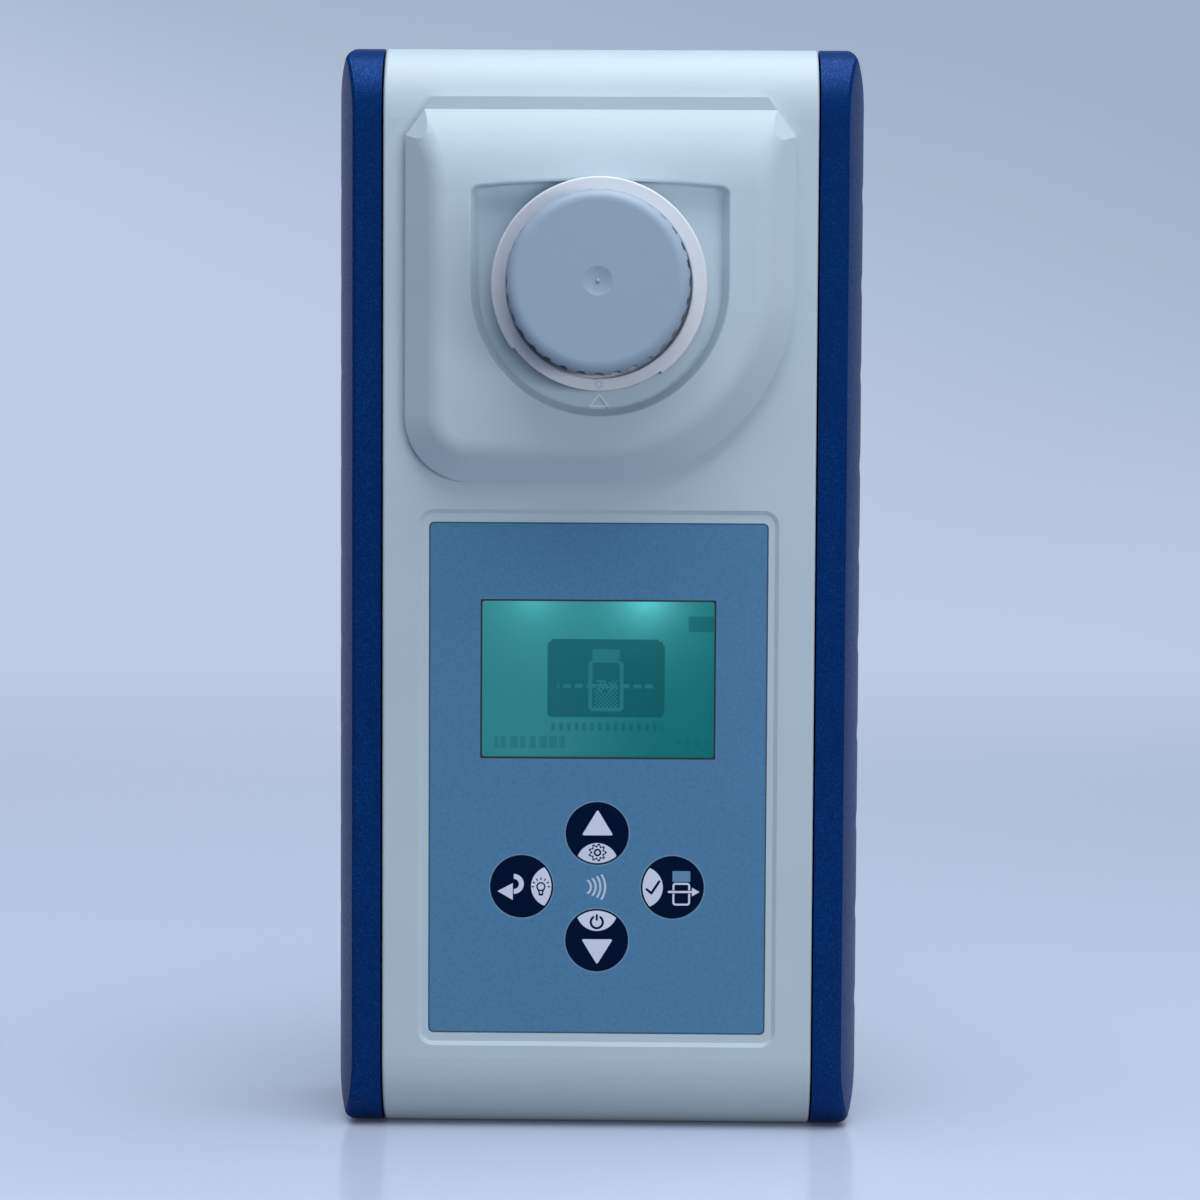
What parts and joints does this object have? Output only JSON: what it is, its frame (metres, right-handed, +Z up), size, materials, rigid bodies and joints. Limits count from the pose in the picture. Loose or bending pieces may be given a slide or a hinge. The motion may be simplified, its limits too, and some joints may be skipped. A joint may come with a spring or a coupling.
{
  "type": "water test photometer",
  "caption": "Hand-held photometer for water tests: sealed two-part case with side grips, a raised well with a capped round vial and light collar, a display and a key pad.",
  "frame": {"origin": "middle of the flat bottom end, on the parting line of the two shells", "axes": "+Z up along the case to the vial end, +X to the right seen from the front, -Y out of the front face with the display, keys and vial"},
  "size_m": [0.076, 0.0515, 0.155],
  "materials": {
    "shell": "fine grained moulding, satin",
    "grip": "blue moulding with a fine metallic grain, satin",
    "seal": "soft black rubber",
    "foil": "printed foil with a fine grain",
    "clear_pane": "clear, polished",
    "display_glass": "liquid crystal cell, lit green from behind",
    "light_guide": "milky, smooth",
    "lamp_body": "clear cast resin",
    "dark_lamp": "dark tinted resin",
    "black_plastic": "black moulding",
    "circuit_board": "green solder mask",
    "film_lead": "amber film",
    "bright_metal": "bright plated can",
    "filter_glass": "coated filter glass",
    "screw_steel": "stainless, satin",
    "brass": "turned brass",
    "cell_jacket": "dark printed jacket, plain",
    "spring_steel": "nickel plated spring steel",
    "collar": "white moulding, satin",
    "vial_glass": "clear borosilicate",
    "liner": "white foam",
    "cap": "light grey-blue moulding, satin",
    "key": "dark navy print under a satin foil",
    "plunger": "natural white moulding"
  },
  "bodies": {
    "case": {"front_shell": "shell", "rear_shell": "shell", "left_grip": "grip", "right_grip": "grip", "shell_gasket": "seal", "faceplate": "foil", "display_window": "clear_pane", "lcd_glass": "display_glass", "light_guide": "light_guide", "backlight_leds": "lamp_body", "display_frame": "black_plastic", "lcd_contact_strips": "seal", "main_board": "circuit_board", "processor_chip": "black_plastic", "clock_crystal": "bright_metal", "buzzer": "black_plastic", "data_led": "dark_lamp", "key_switches": "black_plastic", "optical_block": "black_plastic", "chamber_windows": "clear_pane", "light_filter": "filter_glass", "source_led": "lamp_body", "photodiode": "bright_metal", "source_board": "circuit_board", "detector_board": "circuit_board", "sensor_flex": "film_lead", "chamber_seal": "seal", "case_screws": "screw_steel", "board_screws": "screw_steel", "block_screws": "screw_steel", "thread_inserts": "brass", "battery_cells": "cell_jacket", "battery_springs": "spring_steel", "battery_contacts": "spring_steel", "cover_seal": "seal"},
    "battery_cover": {"battery_cover": "shell"},
    "cover_screw_lower": {"cover_screw_lower": "screw_steel"},
    "cover_screw_upper": {"cover_screw_upper": "screw_steel"},
    "light_collar": {"light_collar": "collar"},
    "vial": {"vial": "vial_glass"},
    "cap_liner": {"cap_liner": "liner"},
    "vial_cap": {"vial_cap": "cap"},
    "key_up": {"key_up": "key", "key_up_plunger": "plunger"},
    "key_down": {"key_down": "key", "key_down_plunger": "plunger"},
    "key_left": {"key_left": "key", "key_left_plunger": "plunger"},
    "key_right": {"key_right": "key", "key_right_plunger": "plunger"}
  },
  "joints": [
    {"name": "vial_lift", "type": "slide", "parent": "case", "child": "light_collar", "axis": [0, -1, 0], "range_m": [0, 0.06]},
    {"name": "vial_turn", "type": "hinge", "parent": "light_collar", "child": "vial", "pos_m": [0, 0, 0.1207], "axis": [0, -1, 0], "continuous": true},
    {"name": "cap_rise", "type": "slide", "parent": "vial", "child": "cap_liner", "axis": [0, -1, 0], "range_m": [0, 0.0045]},
    {"name": "cap_unscrew", "type": "hinge", "parent": "cap_liner", "child": "vial_cap", "pos_m": [0, 0, 0.1207], "axis": [0, -1, 0], "range_deg": [0, 540.1]},
    {"name": "battery_cover_lift", "type": "slide", "parent": "case", "child": "battery_cover", "axis": [0, 1, 0], "range_m": [0, 0.02]},
    {"name": "cover_screw_lower_turn", "type": "hinge", "parent": "battery_cover", "child": "cover_screw_lower", "pos_m": [0, 0, 0.0152], "axis": [0, 1, 0], "continuous": true},
    {"name": "cover_screw_upper_turn", "type": "hinge", "parent": "battery_cover", "child": "cover_screw_upper", "pos_m": [0, 0, 0.0767], "axis": [0, 1, 0], "continuous": true},
    {"name": "press_up", "type": "slide", "parent": "case", "child": "key_up", "axis": [0, 1, 0], "range_m": [0, 0.00035], "stiffness_N_per_m": 1500},
    {"name": "press_down", "type": "slide", "parent": "case", "child": "key_down", "axis": [0, 1, 0], "range_m": [0, 0.00035], "stiffness_N_per_m": 1500},
    {"name": "press_left", "type": "slide", "parent": "case", "child": "key_left", "axis": [0, 1, 0], "range_m": [0, 0.00035], "stiffness_N_per_m": 1500},
    {"name": "press_right", "type": "slide", "parent": "case", "child": "key_right", "axis": [0, 1, 0], "range_m": [0, 0.00035], "stiffness_N_per_m": 1500}
  ],
  "couplings": [
    {"joint": "cap_unscrew", "follows": "cap_rise", "rad_per_m": 2094.4}
  ]
}
